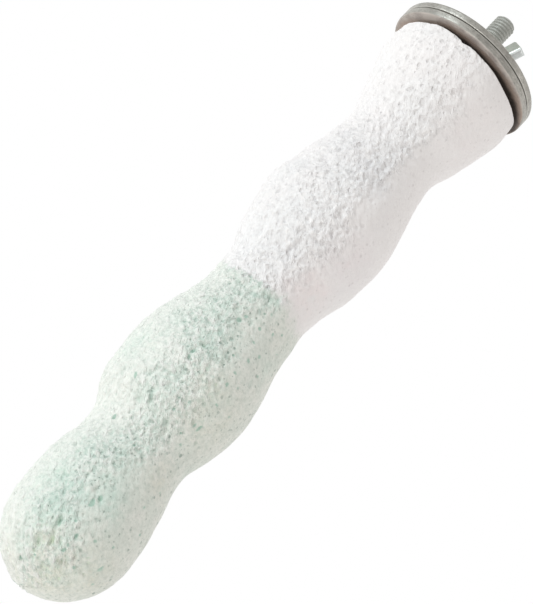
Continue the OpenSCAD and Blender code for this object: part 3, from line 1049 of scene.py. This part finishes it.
def nut_field(x, y, z):
    """Signed distance to the wing nut, drawn with the bolt along z and the washer at z 0."""
    r = np.hypot(x, y)
    boss = polygon_distance(r, z, BOSS) - BOSS_SOFT
    flat = polygon_distance(np.abs(x), z, WING) + WING_EDGE
    # the wings thin a little towards their ends
    across = np.abs(y) - (WING_HALF - 0.08 * smooth(np.abs(x), 6, 14)) + WING_EDGE
    wings = np.minimum(np.maximum(flat, across), 0) + np.hypot(np.maximum(flat, 0), np.maximum(across, 0)) - WING_EDGE
    # the outer edge, which leans outward, is rounded more
    outer = (np.abs(x) - 9.47) * 0.84 - (z - 1.99) * 0.543 + OUTER_EDGE
    across = across - WING_EDGE + OUTER_EDGE
    rolled = np.minimum(np.maximum(outer, across), 0) + np.hypot(np.maximum(outer, 0), np.maximum(across, 0)) - OUTER_EDGE
    wings = np.maximum(wings, rolled)
    body = blend_union(boss, wings, 0.9)
    turn = np.arctan2(x, -y)
    bore_r = 3.06 - 0.5 * (1 - thread_height((z + NUT_FROM) / PITCH - turn / (2 * math.pi) + NUT_TURN / 360.0, 0.2, 0.3))
    bore_r = np.where(z > BOSS_H - 0.5, np.maximum(bore_r, 3.05 + (z - BOSS_H + 0.5) * 0.8), bore_r)
    bore_r = np.where(z < 0.5, np.maximum(bore_r, 3.05 + (0.5 - z) * 0.8), bore_r)
    return np.maximum(body, bore_r - r)


def surface_net(field, low, high, step):
    """Points and quads of the zero surface of a field on a grid."""
    axes = [np.arange(low[k], high[k] + step, step) for k in range(3)]
    f = field(axes[0][:, None, None], axes[1][None, :, None], axes[2][None, None, :])
    nx, ny, nz = f.shape
    inside = f < 0
    corner = [(i, j, k) for i in (0, 1) for j in (0, 1) for k in (0, 1)]
    view = {c: (slice(c[0], nx - 1 + c[0]), slice(c[1], ny - 1 + c[1]), slice(c[2], nz - 1 + c[2])) for c in corner}
    count = sum(inside[view[c]].astype(np.int8) for c in corner)
    live = (count > 0) & (count < 8)
    number = np.full(live.shape, -1, np.int64)
    number[live] = np.arange(live.sum())
    total = np.zeros((int(live.sum()), 3))
    hits = np.zeros(int(live.sum()))
    for a in corner:
        for k in range(3):
            if a[k]:
                continue
            b = tuple(1 if m == k else a[m] for m in range(3))
            fa, fb = f[view[a]][live], f[view[b]][live]
            cut = (fa < 0) != (fb < 0)
            s = np.where(cut, fa / np.where(fa == fb, 1, fa - fb), 0)
            for m in range(3):
                total[:, m] += np.where(cut, a[m] + (s if m == k else 0), 0)
            hits += cut
    at = np.stack(np.nonzero(live), 1) + total / hits[:, None]
    points = at * step + np.array([x[0] for x in axes])
    faces = []
    for k in range(3):
        u, v = (k + 1) % 3, (k + 2) % 3
        sl_a = [slice(1, -1)] * 3
        sl_a[k] = slice(0, -1)
        sl_b = [slice(1, -1)] * 3
        sl_b[k] = slice(1, None)
        fa, fb = inside[tuple(sl_a)], inside[tuple(sl_b)]
        for this, turned in ((fa & ~fb, False), (~fa & fb, True)):
            idx = np.stack(np.nonzero(this), 1)
            off = np.ones(3, int)
            off[k] = 0
            cell = idx + off
            quad = []
            for du, dv in ((1, 1), (0, 1), (0, 0), (1, 0)):
                c = cell.copy()
                c[:, u] -= du
                c[:, v] -= dv
                quad.append(number[c[:, 0], c[:, 1], c[:, 2]])
            q = np.stack(quad, 1)
            faces.append(q[:, ::-1] if turned else q)
    return points, np.concatenate(faces)


def make_nut():
    step = 0.15 * (1.6 if COARSE > 1 else 1)
    points, faces = surface_net(nut_field, (-14.4, -6.7, -0.4), (14.4, 6.7, 10.4), step)
    # pull the points onto the true surface
    e = 0.02

    def pulled(p):
        for _ in range(2):
            x, y, z = p.T
            d = nut_field(x, y, z)
            g = np.stack([nut_field(x + e, y, z) - d, nut_field(x, y + e, z) - d, nut_field(x, y, z + e) - d], 1) / e
            g /= np.maximum((g * g).sum(1), 0.3)[:, None]
            p = p - np.clip(g * d[:, None], -step / 2, step / 2) * 0.8
        return (p,)

    points, = in_threads(pulled, points)
    # lay it down along the bolt: z to +Y, then turn about Y
    # 1 on the rolled outer edges of the wings, where a highlight is painted in
    rub = smooth((np.abs(points[:, 0]) - 9.47) * 0.84 - (points[:, 2] - 1.99) * 0.543, -1.15, -0.25)
    lie = np.stack([points[:, 0], points[:, 2] + NUT_FROM, -points[:, 1]], 1)
    c, s = math.cos(math.radians(-NUT_TURN)), math.sin(math.radians(-NUT_TURN))
    turned = np.stack([c * lie[:, 0] + s * lie[:, 2], lie[:, 1], -s * lie[:, 0] + c * lie[:, 2]], 1)
    nut = mesh_object("wing_nut_cast", turned, [faces])
    mark(nut, rub=rub)
    return nut


# ---------------------------------------------------------------- stage

FILL = (1.0, 0.955, 0.93)


def lamp(name, direction, distance, wide, power, colour):
    data = bpy.data.lights.new(name, "AREA")
    data.shape = "DISK"
    data.size = wide
    data.energy = power
    data.color = colour
    o = bpy.data.objects.new(name, data)
    d = Vector(unit(direction))
    o.location = Vector((0, -0.09, 0)) + d * distance
    o.rotation_mode = "QUATERNION"
    o.rotation_quaternion = (-d).to_track_quat("-Z", "Y")
    o.visible_camera = False
    bpy.context.scene.collection.objects.link(o)
    return o


def make_stage():
    size, z = 6.0, -0.26
    mesh = bpy.data.meshes.new("floor")
    mesh.from_pydata([(-size, -size, z), (size, -size, z), (size, size, z), (-size, size, z)], [], [(0, 1, 2, 3)])
    floor = bpy.data.objects.new("floor", mesh)
    bpy.context.scene.collection.objects.link(floor)
    m = Nodes("floor_white")
    m.bsdf.inputs["Base Color"].default_value = (0.8, 0.8, 0.8, 1)
    m.bsdf.inputs["Roughness"].default_value = 0.9
    m.bsdf.inputs["Specular IOR Level"].default_value = 0.0
    m.bsdf.inputs["Emission Color"].default_value = (*FILL, 1)
    m.bsdf.inputs["Emission Strength"].default_value = 0.26
    seen = m.add("ShaderNodeEmission")
    path = m.add("ShaderNodeLightPath")
    mix = m.add("ShaderNodeMixShader")
    m.link(path.outputs["Is Camera Ray"], mix.inputs[0])
    m.link(m.bsdf.outputs[0], mix.inputs[1])
    m.link(seen.outputs[0], mix.inputs[2])
    m.link(mix.outputs[0], m.out.inputs[0])
    mesh.materials.append(m.mat)

    world = bpy.data.worlds.new("studio")
    world.use_nodes = True
    bpy.context.scene.world = world
    t = world.node_tree
    t.nodes.clear()
    out = t.nodes.new("ShaderNodeOutputWorld")
    fill = t.nodes.new("ShaderNodeBackground")
    fill.inputs[0].default_value = (*FILL, 1)
    fill.inputs[1].default_value = 0.62
    seen = t.nodes.new("ShaderNodeBackground")
    seen.inputs[0].default_value = (1, 1, 1, 1)
    seen.inputs[1].default_value = 1.0
    path = t.nodes.new("ShaderNodeLightPath")
    mix = t.nodes.new("ShaderNodeMixShader")
    t.links.new(path.outputs["Is Camera Ray"], mix.inputs[0])
    t.links.new(fill.outputs[0], mix.inputs[1])
    t.links.new(seen.outputs[0], mix.inputs[2])
    t.links.new(mix.outputs[0], out.inputs[0])

    def round_stick(deg, along=0.0):
        return out_from(np.radians([deg]))[0] + along * AXIS

    lamp("key", round_stick(62, -0.28), 2.2, 0.5, 17.2, (0.90, 0.97, 1.0))
    lamp("side", round_stick(-75, -0.28), 2.2, 1.0, 4.6, (1.0, 0.96, 0.93))
    lamp("top", round_stick(20.6, 0.37), 2.2, 0.5, 4.5, (1.0, 0.98, 0.96))
    lamp("front", 0.90 * AXIS + 0.44 * out_from(np.radians([48]))[0], 2.2, 0.8, 8.1, (1.0, 0.98, 0.95))


# ---------------------------------------------------------------- putting it together

make_camera()
make_stage()
view = bpy.context.scene.view_settings
view.view_transform = "Standard"
view.look = "None"
view.exposure = 0.0
view.gamma = 1.0

white, mint = make_castings()
wear(white, mineral("white_mineral_cast"))
wear(mint, mineral("mint_mineral_cast"))
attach(white, "perch")
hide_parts("white_casting")
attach(mint, "perch")
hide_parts("mint_casting")

bolt = make_bolt()
wear(bolt, metal("bolt_zinc_plate", (0.55, 0.57, 0.54), (0.44, 0.455, 0.43), 0.58, 0.45))
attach(bolt, "perch")
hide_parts("hanger_bolt")

inner_washer = make_washer("inner_washer_stamped", -WIRE_GAP / 2 - WASHER_T, 601)
outer_washer = make_washer("outer_washer_stamped", WIRE_GAP / 2, 611, flip=True)
steel = metal("washer_steel_brushed", (0.47, 0.465, 0.43), (0.30, 0.30, 0.275), 0.42, 0.75, washer=True)
for piece, node in ((inner_washer, "inner_washer"), (outer_washer, "outer_washer")):
    wear(piece, steel)
    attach(piece, node)
    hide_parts(node)

nut = make_nut()
wear(nut, metal("nut_zinc_cast", (0.47, 0.50, 0.45), (0.33, 0.37, 0.32), 0.42, 0.80, uneven=0.015, rubbed=True))
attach(nut, "wing_nut")
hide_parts("wing_nut")

wear(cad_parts["core_dowel"], wood("dowel_beech"))
